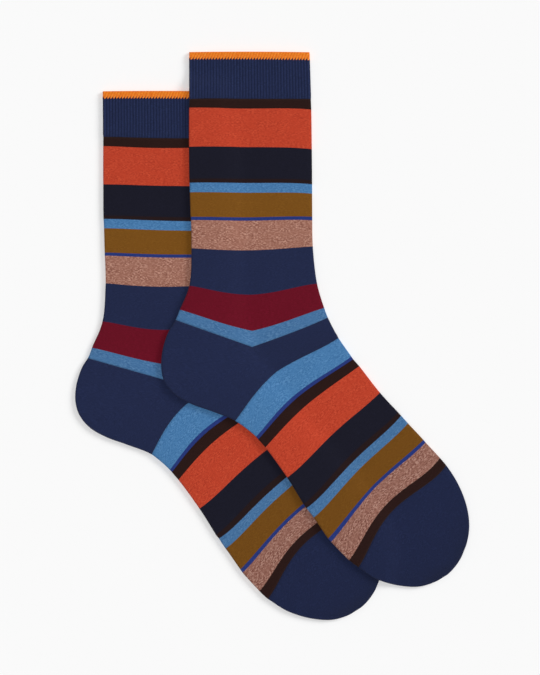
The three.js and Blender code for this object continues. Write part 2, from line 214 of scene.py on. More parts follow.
# How far a row slides towards the toe, in mm: at the back edge, in the middle and at the front edge.
LOWER_SLIDE = [
    ("mouth", 0.0, 0.0, 0.0), ("edging_end", 0.0, 0.0, 0.0), ("cuff_end", -1.0, 0.5, 0.0),
    ("leg_rust", -0.4, 0.7, 0.3), ("leg_black", -0.6, 0.5, 0.6), ("leg_sky", -1.3, 0.1, 1.2),
    ("leg_royal", -1.2, 0.0, 1.2), ("leg_navy", -1.4, -0.2, 0.6), ("leg_wine", -0.5, -0.7, 0.0),
    ("ankle_sky", 1.6, -1.5, 0.0), ("heel_start", 1.9, -1.7, 0.0), ("foot_start", 0.7, -3.6, 0.0),
    ("foot_royal", -0.6, -2.2, -0.1), ("foot_rust", -1.2, -2.1, -0.4), ("foot_black", -2.2, -1.1, 0.0),
    ("foot_sky", -2.1, -0.7, 0.4), ("foot_royal_line", -1.8, -0.4, 0.1), ("foot_heather", -2.1, -0.2, 0.3),
    ("foot_brown_end", -2.5, -0.7, 0.0), ("toe_start", -2.6, -1.3, 0.0), ("tip", 0.0, 0.0, 0.0),
]
NO_SLIDE = [("mouth", 0.0, 0.0, 0.0)]
# How much further out its back edge lies.
LOWER_FULLNESS = [
    ("mouth", 0.2), ("cuff_end", 0.1), ("leg_black", -0.2), ("leg_sky", -0.1), ("leg_ochre", -0.2),
    ("leg_heather", 0.0), ("leg_navy", -0.1), ("leg_wine", 0.7), ("ankle_sky", 0.8), ("heel_start", 0.4),
    ("heel_2", 0.3), ("heel_3", 0.0), ("heel_4", -1.3), ("heel_5", -1.6), ("heel_6", -1.7), ("heel_7", -1.4),
    ("foot_start", -1.6), ("foot_royal", -0.5), ("foot_brown", -0.5), ("foot_black", -0.1),
    ("foot_brown_line", -0.1), ("foot_sky", -0.5), ("foot_ochre", 0.2), ("foot_royal_line", 0.0),
    ("foot_heather", 0.2), ("toe_start", 1.4), ("toe_1", 0.8), ("toe_2", 0.6), ("toe_4", 0.6), ("toe_5", 0.8),
    ("tip", 0.0),
]


def settle_upper(points):
    return points + MIDDLE


def settle_lower(points):
    return points * (1, 1 - LOWER_SHORTENING) + LOWER_MOVE + MIDDLE


def flat_on_surface(x, y):
    return np.zeros_like(x)


lower = {"name": "lower", "settle": settle_lower, "slide": LOWER_SLIDE, "fullness": LOWER_FULLNESS,
         "lift": flat_on_surface}
upper = {"name": "upper", "settle": settle_upper, "slide": NO_SLIDE, "fullness": [("mouth", 0.0)],
         "lift": flat_on_surface}

# %% [markdown]
# ## Round the tube
# A column of stitches runs the whole length of a sock, so its place is a share of the way round. The shares start
# in the middle of the underside and go by the back edge, the upper face and the front edge. The folded edges are
# rounded, a little fuller than half circles, and they get more columns than the faces because they turn so tightly.

# %% Columns round the tube
# The power of a fold's outline: 2 is a half circle, and more is squarer.
FOLD_SQUARENESS = 3.2
FACE = CUFF_WIDTH - FOLD
TURN = math.pi * FOLD / 2
ROUND = 2 * (FACE + TURN)
CORNERS = np.cumsum([0, FACE / 2, TURN, FACE, TURN, FACE / 2]) / ROUND
JERSEY_STEPS = (24, 6, 48, 6, 24)
jersey_shares = np.concatenate(
    [np.linspace(a, b, n, endpoint=False) for a, b, n in zip(CORNERS, CORNERS[1:], JERSEY_STEPS)] + [[1.0]]
)
STEPS_PER_RIB = 6
rib_shares = np.linspace(0, 1, int(RIBS_ROUND) * STEPS_PER_RIB + 1)


def around(shares):
    """For each share: how far across its face, its angle on a fold, and which face or fold it is on."""
    part = np.clip(np.searchsorted(CORNERS, shares, side="right") - 1, 0, 4)
    along = (shares - CORNERS[part]) / (CORNERS[part + 1] - CORNERS[part])
    across = np.select([part == 0, part == 2, part == 4], [0.5 - along / 2, along, 1 - along / 2], 0.0)
    angle = np.select([part == 1, part == 3], [along * math.pi - math.pi / 2, math.pi / 2 - along * math.pi], 0.0)
    return across, angle, part


print(len(jersey_shares) - 1, "columns for jersey,", len(rib_shares) - 1, "for ribs")

# %% [markdown]
# The outer and the inner surface come from one function: the inner one is the same tube, set in by the thickness of
# the wall. A swell moves the outer surface out, for ribs and raised stitches, and a relief raises or sinks the upper
# face, less and less towards its edges. The lift lays the sock on what is under it.

# %% The surface of a knitted tube
RELIEF_POWER = 4


def tube_points(sock, rows, shares, inset=0.0, swell=None, squeeze=1.0, relief=None):
    """Points of the tube, one line for each row, in millimetres."""
    across, angle, part = around(shares)
    width = np.linalg.norm(rows["front"] - rows["back"], axis=1)[:, None]
    centre = FOLD / 2
    radius = centre - inset
    out = np.cos(angle).clip(0) ** (2 / FOLD_SQUARENESS)
    up = np.sign(angle) * np.abs(np.sin(angle)) ** (2 / FOLD_SQUARENESS)
    distance = np.select(
        [part == 1, part == 3], [centre - radius * out, width - centre + radius * out],
        centre + across * (width - FOLD),
    )
    u = np.clip(2 * distance / width - 1, -1, 1)
    top = FOLD + rows["crown"][:, None] * (1 - np.abs(u) ** CROWN_POWER) - inset
    z = np.select([part == 2, (part == 1) | (part == 3)], [top, centre + radius * up], inset)
    z = centre + (z - centre) * squeeze
    if swell is not None:
        facing_up = np.select([part == 2, (part == 1) | (part == 3)], [1.0, up], -1.0)
        amount = swell(facing_up)
        z = z + amount * facing_up
        distance = distance + amount * np.select([part == 1, part == 3], [-out, out], 0.0)
        u = 2 * distance / width - 1
    plan = plan_of(rows, u)
    if relief is not None:
        z = z + relief(plan[..., 0], plan[..., 1]) * np.where(part == 2, 1 - np.abs(u) ** RELIEF_POWER, 0.0)
    z = z + sock["lift"](plan[..., 0], plan[..., 1])
    return np.dstack([plan, z])


# %% [markdown]
# ## From points to a mesh
# A grid rolled up is a tube, and `create_grid` makes it: its columns are the wales and its lines are the courses.
# Its two long edges meet in the middle of the underside and are merged there. The outer and the inner tube are then
# bridged at their open ends, so each piece is a closed wall of cloth. Two UV maps go with it: `stitches` counts
# wales and courses, and `bands` gives the distance along the sock, by which the bands of colour are found.

# %% Building a wall of cloth
MERGE_DISTANCE = 1e-7


def add_tube(bm, points, stitches, bands, inside):
    """Adds one tube to the mesh, outside or inside face out, with its UV maps."""
    lines, columns = points.shape[0] - 1, points.shape[1] - 1
    grid = bmesh.ops.create_grid(bm, x_segments=columns, y_segments=lines, size=1.0)
    row_layer = bm.verts.layers.int["row"]
    side_layer = bm.verts.layers.int["inside"]
    place = {}
    for vert in grid["verts"]:
        i, j = round((vert.co.x + 1) / 2 * columns), round((1 - vert.co.y) / 2 * lines)
        place[vert] = (j, i)
        vert[row_layer] = j
        vert[side_layer] = int(inside)
    stitch_map, band_map = bm.loops.layers.uv["stitches"], bm.loops.layers.uv["bands"]
    faces = {face for vert in place for face in vert.link_faces}
    for face in faces:
        face.smooth = True
        middle = min(place[loop.vert][1] for loop in face.loops)
        for loop in face.loops:
            j, i = place[loop.vert]
            loop[stitch_map].uv = stitches(j, i, middle)
            loop[band_map].uv = bands[j, i]
    for vert, (j, i) in place.items():
        vert.co = points[j, i] * MM
    if inside:
        bmesh.ops.reverse_faces(bm, faces=list(faces))
    return list(place)


def close_end(bm, row):
    """Bridges the outer and the inner tube along one end."""
    row_layer = bm.verts.layers.int["row"]
    edges = [e for e in bm.edges if e.is_boundary and all(v[row_layer] == row for v in e.verts)]
    rim = bmesh.ops.bridge_loops(bm, edges=edges)["faces"]
    for face in rim:
        face.smooth = True
        for loop in face.loops:
            known = next(other for other in loop.vert.link_loops if other.face not in rim)
            for layer in bm.loops.layers.uv.values():
                loop[layer].uv = known[layer].uv


def cloth_object(name, outer, inner, stitches, bands, closed):
    """A wall of cloth between two tubes. A closed one, such as a toe, is open only at its first row."""
    bm = bmesh.new()
    for layer in ("row", "inside"):
        bm.verts.layers.int.new(layer)
    for layer in ("stitches", "bands"):
        bm.loops.layers.uv.new(layer)
    for points, inside in ((outer, False), (inner, True)):
        verts = add_tube(bm, points, stitches, bands, inside)
        bmesh.ops.remove_doubles(bm, verts=verts, dist=MERGE_DISTANCE)
    close_end(bm, 0)
    if not closed:
        close_end(bm, outer.shape[0] - 1)
    mesh = bpy.data.meshes.new(name)
    bm.to_mesh(mesh)
    bm.free()
    piece = bpy.data.objects.new(name, mesh)
    bpy.context.collection.objects.link(piece)
    return piece


# %% [markdown]
# ## Which rows a piece has
# The rows of the mesh lie about 2 mm apart where they are widest apart. A toe ends in a last few rows that round it
# off, so that its upper and its lower face meet in one line at the tip.

# %% Rows of one piece
MESH_ROW = 2.0
TIP_STEPS = 5


def fine_rows(first, last, spacing):
    """Row numbers from one named row to another, close enough together for the mesh."""
    numbers = [float(row_number[first])]
    for k in range(row_number[first], row_number[last]):
        gap = max(np.linalg.norm(points[k + 1] - points[k]) for points in edge_paths.values())
        count = max(1, math.ceil(gap / spacing))
        numbers += [k + (i + 1) / count for i in range(count)]
    return np.array(numbers)


def with_tip(sock, numbers, inset):
    """The rows of a toe, and how flat each one is, with the last ones rounding off the tip."""
    tip = rows_at(sock, [numbers[-1]])
    before = rows_at(sock, [numbers[-1] - 0.5])
    body = rows_at(sock, numbers)
    far = np.linalg.norm(body["middle"] - tip["middle"], axis=1) > FOLD
    rounding = np.linspace(0, math.pi / 2, TIP_STEPS + 1)
    rows = {}
    for key, values in body.items():
        if key in ("bend", "crown", "sway"):
            rows[key] = np.concatenate([values[far], np.zeros((len(rounding), *values.shape[1:]))])
            continue
        direction = (before[key] - tip[key]) / np.linalg.norm(before[key] - tip[key])
        back_off = FOLD / 2 - (FOLD / 2 - inset) * np.sin(rounding)
        rows[key] = np.vstack([values[far], tip[key] + direction * back_off[:, None]])
    squeeze = np.concatenate([np.ones(far.sum()), np.cos(rounding)])[:, None]
    return rows, squeeze


# %% [markdown]
# ## Where the stitches lie
# On the leg, the foot and the toe a course is a row of the table, so all its stitches count the same along the
# sock. The heel is a pocket: it is knitted back and forth on half of the needles, first on fewer and then on more of
# them, so its courses run along its upper border above a mitre line and along its lower border below it. Counting
# from the nearer border gives just that. The bands of colour are found by another measure, metres along the middle,
# which is the same right across a row.

# %% Counting wales and courses
def stitch_counter(rows, shares, pocket):
    """A function that gives a mesh corner its wale and course."""
    wales = shares * NEEDLES
    across, _, part = around(shares)
    u = np.select([part == 1, part == 3], [-1.0, 1.0], 2 * across - 1)
    plan = plan_of(rows, u[None, :])
    steps = np.linalg.norm(np.diff(plan, axis=0), axis=2)
    along = np.vstack([np.zeros(len(shares)), np.cumsum(steps, axis=0)]) / COURSE
    even = along.mean(axis=1)
    mitred = np.minimum(along, along[-1] - along)
    half = len(shares) // 2

    def count(j, i, middle):
        return wales[i], mitred[j, i] if pocket and middle < half else even[j]

    return count


middle_steps = np.linalg.norm(np.diff(smooth_path(edge_paths["middle"], FINE), axis=0), axis=1)
middle_lengths = np.concatenate([[0], np.cumsum(middle_steps)]) * MM


def metres_along(numbers):
    """Metres along the middle at row numbers."""
    return np.interp(numbers, FINE, middle_lengths)


def band_places(numbers, shares):
    """The UV map that the bands of colour are found by: the share round, and metres along the middle."""
    return np.dstack(np.meshgrid(shares, metres_along(numbers)))


print("length along the middle, m:", round(metres_along(len(ROWS) - 1), 3))

# %% [markdown]
# ## Ribs, raised stitches and small creases
# The cuff's ribs are real relief, because they show at a glance: each stands 0.4 mm above the groove beside it. They
# fade out just above the bands. On the underside, which stays flat, the grooves sink in instead. The orange edging is
# a turned welt with one leaning stitch to each rib, and its last stitches hang into the ribs as small loops. The
# jersey is nearly smooth, with a few soft hollows, one small pucker under the point where the heel starts, and the
# mitre line of the heel.

# %% Relief
RIB_FADE = 2.5
RIB_POWER, WELT_POWER = 0.7, 0.8
WELT_RAISE = 0.28
WELT_SINK = 0.1
# How far a welt stitch moves on, in ribs for each millimetre along the sock.
WELT_LEAN = 0.22
# How far a loop hangs below the welt's border, and how far the gap beside it reaches above, in mm.
LOOP_OUT = 0.1
LOOP_IN = 1.9


def ridges(phase, power):
    """Round ridges from 0 to 1, one for each whole number of the phase."""
    return (0.5 + 0.5 * np.cos(2 * math.pi * phase)) ** power


def cuff_swell(rows, shares):
    to_end = np.linalg.norm(rows["middle"] - rows["middle"][-1], axis=1)[:, None]
    fade = np.clip(to_end / RIB_FADE, 0, 1)
    rib = ridges(RIBS_ROUND * shares, RIB_POWER)[None, :]
    return lambda facing: fade * ((1 + facing) / 2 * RIB_RAISE * rib - (1 - facing) / 2 * RIB_SINK * (1 - rib))


def welt_swell(rows, shares):
    down = np.linalg.norm(rows["middle"] - rows["middle"][0], axis=1)[:, None]
    lean = WELT_LEAN * (down - down.max() - LOOP_OUT)
    stitch = ridges(RIBS_ROUND * shares[None, :] + lean, WELT_POWER)
    raised = EDGING_RAISE + WELT_RAISE * stitch * down / down.max()
    sunk = WELT_SINK * (1 - stitch)
    return lambda facing: (1 + facing) / 2 * raised - (1 - facing) / 2 * sunk


def bell(distance, reach):
    return np.exp(-((distance / reach) ** 2))


# Soft hollows, each from one point to another in the upper sock's rows: (start, end, half width, depth), in mm.
CREASES = [
    ((-15.4, -9.0), (-15.6, -18.5), 1.1, 0.28),
    ((-12.6, -10.5), (-10.5, -17.5), 1.3, 0.14),
    ((-20.0, -14.0), (-52.0, -21.5), 1.5, 0.16),
    ((-38.0, 24.0), (-8.0, 17.0), 7.0, 0.12),
    ((20.0, -22.0), (34.0, -9.0), 6.0, 0.14),
    ((30.0, -62.0), (50.0, -52.0), 9.0, 0.10),
    ((92.0, -160.0), (112.0, -140.0), 7.0, 0.10),
]
# Long faint waves: (height, length, heading, phase), in mm and radians.
WAVES = [(0.10, 61.0, 0.5, 0.3), (0.07, 37.0, 1.9, 1.7), (0.05, 23.0, 2.7, 4.1)]


def make_relief(sock_move):
    """Height to add to the upper face, from the soft hollows and a few long faint waves."""

    def relief(x, y):
        x, y = x - sock_move[0], y - sock_move[1]
        height = np.zeros_like(x)
        for start, end, half_width, depth in CREASES:
            start, end = np.array(start), np.array(end)
            run = end - start
            along = ((x - start[0]) * run[0] + (y - start[1]) * run[1]) / (run @ run)
            held = np.clip(along, 0, 1)
            away = np.hypot(x - start[0] - held * run[0], y - start[1] - held * run[1])
            height -= depth * bell(away, half_width)
        for size, length, heading, phase in WAVES:
            height += size * np.sin((x * math.cos(heading) + y * math.sin(heading)) * 2 * math.pi / length + phase)
        return height

    return relief


# %% [markdown]
# ## Colours of the yarns
# Dyed cotton: combed yarns in plain colours, and three of them, rust, sky and heather pink, spun from two shades,
# which leaves small flecks. Three yarns also have a shaded copy, a little darker, for the ankle and the forefoot,
# which is painted shade. The values are sRGB hex, and one function turns them to linear.

# %% Yarn colours
def linear(hex_colour):
    """sRGB hex to linear RGB, with an alpha of 1."""
    parts = [int(hex_colour[i : i + 2], 16) / 255 for i in (1, 3, 5)]
    return [c / 12.92 if c <= 0.04045 else ((c + 0.055) / 1.055) ** 2.4 for c in parts] + [1.0]


# name: main shade, light fleck, dark fleck (also the colour of painted shade in grooves and hollows), share of fleck
YARNS = {
    "orange": ("#ff932c", "#ffb850", "#ef6c12", 0.35),
    "cuff navy": ("#27325a", "#344371", "#111932", 0.3),
    "brown": ("#2b1511", "#3b1f1b", "#200e0c", 0.2),
    "rust": ("#ce472c", "#e76341", "#ac3321", 0.42),
    "black": ("#181828", "#212235", "#10101c", 0.2),
    "sky": ("#4e85b9", "#72a6d6", "#386b9f", 0.42),
    "ochre": ("#845517", "#996823", "#6e440e", 0.25),
    "royal": ("#283b83", "#3c529e", "#1c2c66", 0.2),
    "heather": ("#b07b69", "#dead99", "#885446", 0.62),
    "navy": ("#222b4e", "#2c3863", "#18203c", 0.25),
    "wine": ("#700922", "#881230", "#5b0517", 0.25),
    "toe navy": ("#1e2749", "#2b3863", "#161d38", 0.25),
    # Shaded copies of sky, ochre and heather: painted shade for the ankle and the forefoot.
    "shaded sky": ("#4c7baa", "#709ac5", "#376392", 0.42),
    "shaded ochre": ("#7a4e14", "#8d5f1f", "#653e0c", 0.25),
    "shaded heather": ("#a07061", "#ca9e8e", "#7c4c41", 0.85),
    "brown line": ("#261617", "#342022", "#1c0f11", 0.2),
}

# %% [markdown]
# ## Nodes
# Materials are made of nodes. One helper adds a node, sets its values and links its inputs, and every material
# below is a few calls to it.

# %% A helper for nodes
MATH = "ShaderNodeMath"


def add(tree, kind, inputs=(), **settings):
    """Adds a node. Its inputs, in order or by name or number, are values, sockets or nodes, which stand for their
    first output. The rest are the node's own settings."""
    node = tree.nodes.new(kind)
    for key, value in settings.items():
        setattr(node, key, value)
    for key, value in inputs.items() if isinstance(inputs, dict) else enumerate(inputs):
        if isinstance(value, bpy.types.Node):
            value = value.outputs[0]
        if isinstance(value, bpy.types.NodeSocket):
            tree.links.new(value, node.inputs[key])
        else:
            node.inputs[key].default_value = value
    return node


# %% [markdown]
# ## Knit stitches
# Plain knitting shows columns of small V shapes. Each V is two loops of yarn that lean towards the middle of their
# wale, so a height that has two humps across a wale, and that repeats along the sock with a shift that grows away
# from the middle, draws them. A stitch is only a pixel or two wide in a picture of the whole sock, so this is bump
# and not mesh, at the real size of a wale and a course.

# %% Height of the stitches
STITCH_LEAN = 1.1
LOOP_ROUNDNESS = 0.6
COURSE_ROUNDNESS = 0.5


def stitch_height(tree, off_middle, course):
    """A height from 0 to 1 that draws V stitches, from the distance to the middle of a wale and the course."""
    across = add(tree, MATH, [off_middle, 2 * math.pi], operation="MULTIPLY")
    hump = add(tree, MATH, [across], operation="SINE")
    leaning = add(tree, MATH, [off_middle, STITCH_LEAN, course], operation="MULTIPLY_ADD")
    in_course = add(tree, MATH, [leaning], operation="FRACT")
    along = add(tree, MATH, [in_course, math.pi], operation="MULTIPLY")
    loop = add(tree, MATH, [along], operation="SINE")
    round_hump = add(tree, MATH, [hump, LOOP_ROUNDNESS], operation="POWER")
    round_loop = add(tree, MATH, [loop, COURSE_ROUNDNESS], operation="POWER")
    return add(tree, MATH, [round_hump, round_loop], operation="MULTIPLY")


# %% [markdown]
# ## Cotton
# All the pieces are the same cloth in other colours. Cotton yarn is rough and matt, and its loose fibres give a
# faint sheen at a low angle. The two shades of a flecked yarn show as streaks two or three stitches long that
# follow the courses, because that is how the yarn runs. Little light reaches the bottom of a groove or the hollow
# between two loops, so the colour turns towards the yarn's dark shade there.

# %% Sizes and shares of the cotton knit
SHEEN = 0.05
SHEEN_ROUGHNESS = 0.5
SPECULAR = 0.12
ROUGHNESS = 0.9
STITCH_DEPTH = 0.22
# How far a band's border zigzags, in courses, and how many wales and courses one fleck takes.
BORDER_ZIGZAG = 0.5
FLECK_WALES, FLECK_COURSES = 1.7, 0.9
# The part of the noise that runs from the dark to the light shade, and how much each stitch adds of its own.
STREAK_RANGE = (0.34, 0.66)
GRAIN = 0.22
# Patches six flecks wide, in which the flecks are weaker or stronger.
PATCH_SCALE = 0.17
PATCH_RANGE, PATCH_STRENGTH = (0.35, 0.65), (0.55, 1.45)
# How dark the painted shade in the grooves is: in the welt from 4 mm to 0.5 mm before its border, in the ribs,
# and between the loops.
WELT_SHADE_PLACES, WELT_GROOVE_SHADE = (-4.0, -0.5), (0.8, 1.0)
RIB_GROOVE_SHADE = 0.75
HOLLOW_SHADE = 0.5

# %% [markdown]
# A colour ramp has only 256 steps, too few for a thin line of colour on a sock this long. So the borders that a place
# has passed are counted, which is exact, and the ramp only has to tell whole numbers apart.

# %% Which band a place is in
def band_number(tree, place, borders):
    """How many borders a place has passed, as a share of the bands that lands in the middle of each step."""
    number = 0.5
    for border in borders:
        passed = add(tree, MATH, [place, border], operation="GREATER_THAN")
        number = add(tree, MATH, [number, passed], operation="ADD")
    return add(tree, MATH, [number, len(borders) + 1], operation="DIVIDE")


def one_of(tree, number, values):
    """The colour or the number of a band, from a colour ramp in as many equal hard steps."""
    if len(values) == 1:
        return values[0]
    node = add(tree, "ShaderNodeValToRGB", [number])
    node.color_ramp.interpolation = "CONSTANT"
    elements = node.color_ramp.elements
    elements[1].position = 1 / len(values)
    for k in range(2, len(values)):
        elements.new(k / len(values))
    for element, value in zip(elements, values):
        element.color = [value] * 3 + [1.0] if isinstance(value, float) else value
    return node


# %% [markdown]
# The welt's last stitches hang into the ribs as loops, so its border waves in and out once for each rib, and its
# grooves lean. The ribs below it don't lean. The grooves in both get painted shade.

# %% The welt's border and the painted shade in the grooves
def welt_border(tree, wale, place):
    """How far the welt's border is shifted at a place, and its share of painted shade, greatest midway between two
    ribs.
    """
    border = metres_along(row_number["edging_end"])
    past = add(tree, "ShaderNodeMapRange", [place, border, border + MM, 0.0, 1.0], clamp=False)
    past_loops = add(tree, MATH, [past, LOOP_OUT], operation="SUBTRACT")
    in_welt = add(tree, MATH, [past_loops, 0.0], operation="MINIMUM")
    lean = add(tree, MATH, [in_welt, WELT_LEAN, 0.5], operation="MULTIPLY_ADD")
    turned = add(tree, MATH, [wale, 1 / WALES_PER_RIB, lean], operation="MULTIPLY_ADD")
    stitch = add(tree, MATH, [turned], operation="FRACT")
    from_stitch = add(tree, MATH, [stitch, 2.0, -1.0], operation="MULTIPLY_ADD")
    off_stitch = add(tree, MATH, [from_stitch], operation="ABSOLUTE")
    gap = add(tree, MATH, [off_stitch, 2.0], operation="POWER")
    shift = add(tree, MATH, [gap, (LOOP_IN + LOOP_OUT) * MM, -LOOP_OUT * MM], operation="MULTIPLY_ADD")
    # How strong the painted shade in the grooves is: growing towards the welt's border, and set for the cuff's ribs.
    depth = add(tree, "ShaderNodeMapRange", [past, *WELT_SHADE_PLACES, *WELT_GROOVE_SHADE])
    in_cuff = add(tree, MATH, [past, 0.0], operation="GREATER_THAN")
    depth = add(tree, "ShaderNodeMix", {"Factor": in_cuff, "A": depth, "B": RIB_GROOVE_SHADE})
    return shift, add(tree, MATH, [gap, depth], operation="MULTIPLY")


# %% [markdown]
# One function makes each cotton from its bands: first where a place is on the knitting, then the shades of its band,
# then how they mix, and last the shader.

# %% The cotton knit
def cotton_knit(name, bands, welt=False):
    """A cotton knit in bands: each is (the row that it starts on, yarn)."""
    material = bpy.data.materials.new(name)
    material.use_nodes = True
    tree = material.node_tree
    shader = next(node for node in tree.nodes if node.type == "BSDF_PRINCIPLED")
    counts = add(tree, "ShaderNodeSeparateXYZ", [add(tree, "ShaderNodeUVMap", uv_map="stitches")])
    places = add(tree, "ShaderNodeSeparateXYZ", [add(tree, "ShaderNodeUVMap", uv_map="bands")])
    wale, course = counts.outputs[0], counts.outputs[1]
    in_wale = add(tree, MATH, [wale], operation="FRACT")
    from_middle = add(tree, MATH, [in_wale, 0.5], operation="SUBTRACT")
    off_middle = add(tree, MATH, [from_middle], operation="ABSOLUTE")

    # A band starts on the points of its stitches, so its border is a fine zigzag, or loops at the welt.
    # With a welt, the grooves of the welt and of the ribs get painted shade in the yarn's dark colour.
    groove_shades = []
    if welt:
        shift, groove_shade = welt_border(tree, wale, places.outputs[1])
        groove_shades = [groove_shade]
    else:
        shift = add(tree, MATH, [off_middle, BORDER_ZIGZAG * COURSE * MM], operation="MULTIPLY")
    number = None
    if len(bands) > 1:
        ragged = add(tree, MATH, [places.outputs[1], shift], operation="ADD")
        number = band_number(tree, ragged, [metres_along(row_number[row]) for row, _ in bands[1:]])
    yarns = [YARNS[yarn] for _, yarn in bands]
    main, light, dark = (one_of(tree, number, [linear(yarn[k]) for yarn in yarns]) for k in range(3))
    flecked = one_of(tree, number, [yarn[3] for yarn in yarns])

    # Streaks along the yarn, and a finer grain from stitch to stitch.
    stretched = [add(tree, MATH, [wale, 1 / FLECK_WALES], operation="MULTIPLY"),
                 add(tree, MATH, [course, 1 / FLECK_COURSES], operation="MULTIPLY")]
    in_flecks = add(tree, "ShaderNodeCombineXYZ", stretched)
    streaks = add(tree, "ShaderNodeTexNoise", {"Vector": in_flecks, "Scale": 1.0, "Detail": 2.0, "Roughness": 0.6},
                  noise_dimensions="2D")
    stitch = [add(tree, MATH, [count], operation="FLOOR") for count in (wale, course)]
    stitch_place = add(tree, "ShaderNodeCombineXYZ", stitch)
    grain = add(tree, "ShaderNodeTexWhiteNoise", {"Vector": stitch_place}, noise_dimensions="2D")
    grain_off = add(tree, MATH, [grain, 0.5], operation="SUBTRACT")
    mixed = add(tree, MATH, [grain_off, GRAIN, streaks], operation="MULTIPLY_ADD")
    shade = add(tree, "ShaderNodeMapRange", [mixed, *STREAK_RANGE, -1.0, 1.0])

    # The shades of a yarn are blended more evenly in one patch than in the next.
    patches = add(tree, "ShaderNodeTexNoise", {"Vector": in_flecks, "Scale": PATCH_SCALE, "Detail": 1.0},
                  noise_dimensions="2D")
    presence = add(tree, "ShaderNodeMapRange", [patches, *PATCH_RANGE, *PATCH_STRENGTH])
    patchy = add(tree, MATH, [shade, presence], operation="MULTIPLY")
    strength = add(tree, MATH, [patchy, flecked], operation="MULTIPLY")
    lighter = add(tree, MATH, [strength, 0.0], operation="MAXIMUM")
    opposite = add(tree, MATH, [strength, -1.0], operation="MULTIPLY")
    darker = add(tree, MATH, [opposite, 0.0], operation="MAXIMUM")

    # The light and the dark fleck, then painted shade in the grooves of a welt or a rib and in the hollows
    # between the stitches.
    height = stitch_height(tree, off_middle, course)
    depth = add(tree, MATH, [1.0, height], operation="SUBTRACT")
    # Painted shade in the hollows between the loops, in the yarn's dark colour.
    hollow_shade_share = add(tree, MATH, [depth, HOLLOW_SHADE], operation="MULTIPLY")
    base = main
    for share, colour in [(lighter, light)] + [(share, dark) for share in [darker, *groove_shades, hollow_shade_share]]:
        base = add(tree, "ShaderNodeMix", {0: share, 6: base, 7: colour}, data_type="RGBA").outputs[2]

    bump = add(tree, "ShaderNodeBump", {"Height": height, "Strength": 1.0, "Distance": STITCH_DEPTH * MM})
    tree.links.new(base, shader.inputs["Base Color"])
    tree.links.new(bump.outputs[0], shader.inputs["Normal"])
    shader.inputs["Roughness"].default_value = ROUGHNESS
    shader.inputs["Specular IOR Level"].default_value = SPECULAR
    shader.inputs["Sheen Weight"].default_value = SHEEN
    shader.inputs["Sheen Roughness"].default_value = SHEEN_ROUGHNESS
    return material

# %% [markdown]
# Each piece gets its cotton. The edging and the cuff share one, because the loops of the welt hang over the seam.

# %% Materials
LEG_BANDS = [
    ("cuff_end", "brown"), ("leg_rust", "rust"), ("leg_black", "black"), ("leg_brown", "brown line"),
    ("leg_sky", "sky"), ("leg_ochre", "ochre"), ("leg_royal", "royal"), ("leg_heather", "heather"),
    ("leg_navy", "navy"), ("leg_wine", "wine"), ("ankle_sky", "shaded sky"),
]
FOOT_BANDS = [
    ("foot_start", "sky"), ("foot_royal", "royal"), ("foot_brown", "brown"), ("foot_rust", "rust"),
    ("foot_black", "black"), ("foot_brown_line", "brown line"), ("foot_sky", "shaded sky"),
    ("foot_ochre", "shaded ochre"), ("foot_royal_line", "royal"), ("foot_heather", "shaded heather"),
    ("foot_brown_end", "brown"),
]
CUFF_BANDS = [("mouth", "orange"), ("edging_end", "cuff navy")]
materials = {
    # A bright, matt line round the mouth, with leaning stitches, a row of loops, and painted shade in its grooves.
    "edging": cotton_knit("orange cotton welt", CUFF_BANDS, welt=True),
    # Dark blue with fine upright lines, and painted shade between the ribs.
    "cuff": cotton_knit("navy cotton rib", CUFF_BANDS, welt=True),
    # Matt bands in strong colours, with paler flecks in the rust, the light blue and the heather, and painted
    # shade on the light blue at the ankle.
    "leg": cotton_knit("banded cotton jersey, leg", LEG_BANDS),
    # Plain dark blue, on which the turn of the courses is all that shows.
    "heel": cotton_knit("navy cotton jersey, heel", [("heel_start", "navy")]),
    # Bands of the same yarns as on the leg, three of them with painted shade towards the toe.
    "foot": cotton_knit("banded cotton jersey, foot", FOOT_BANDS),
    # Plain dark blue, a little darker than the heel.
    "toe": cotton_knit("navy cotton jersey, toe", [("toe_start", "toe navy")]),
}
print(len(materials), "materials")

# %% [markdown]
# ## Knitting the pieces
# One function makes any piece of a sock between two rows, in place of the solid of the same name. The edging is only
# 6 mm long.

# %% A piece of a sock
PIECES = [
    # name, first row, last row, slot
    ("edging", "mouth", "edging_end", "edging_knit"),
    ("cuff", "edging_end", "cuff_end", "cuff_rib"),
    ("leg", "cuff_end", "heel_start", "leg_stripes"),
    ("heel", "heel_start", "foot_start", "heel_knit"),
    ("foot", "foot_start", "toe_start", "foot_stripes"),
    ("toe", "toe_start", "tip", "toe_knit"),
]
# The spacing of the mesh rows, in mm, where it is finer than elsewhere, and what raises the stitches there.
FINER = {"edging": 0.45, "cuff": 1.0}
SWELLS = {"edging": welt_swell, "cuff": cuff_swell}
CUT_COLUMNS = 25


def cut_of(rows):
    """The cut of a knitted tube, in metres: its width all round, its length, and its area."""
    across = np.linspace(-1, 1, CUT_COLUMNS)
    plan = plan_of(rows, across[None, :]) * MM
    width = np.linalg.norm(rows["front"] - rows["back"], axis=1).max() * MM
    length = np.linalg.norm(np.diff(plan, axis=0), axis=2).sum(axis=0).max()
    a, b = plan[1:, 1:] - plan[:-1, :-1], plan[1:, :-1] - plan[:-1, 1:]
    area = np.abs(a[..., 0] * b[..., 1] - a[..., 1] * b[..., 0]).sum() / 2
    return (2 * width, length), 2 * area


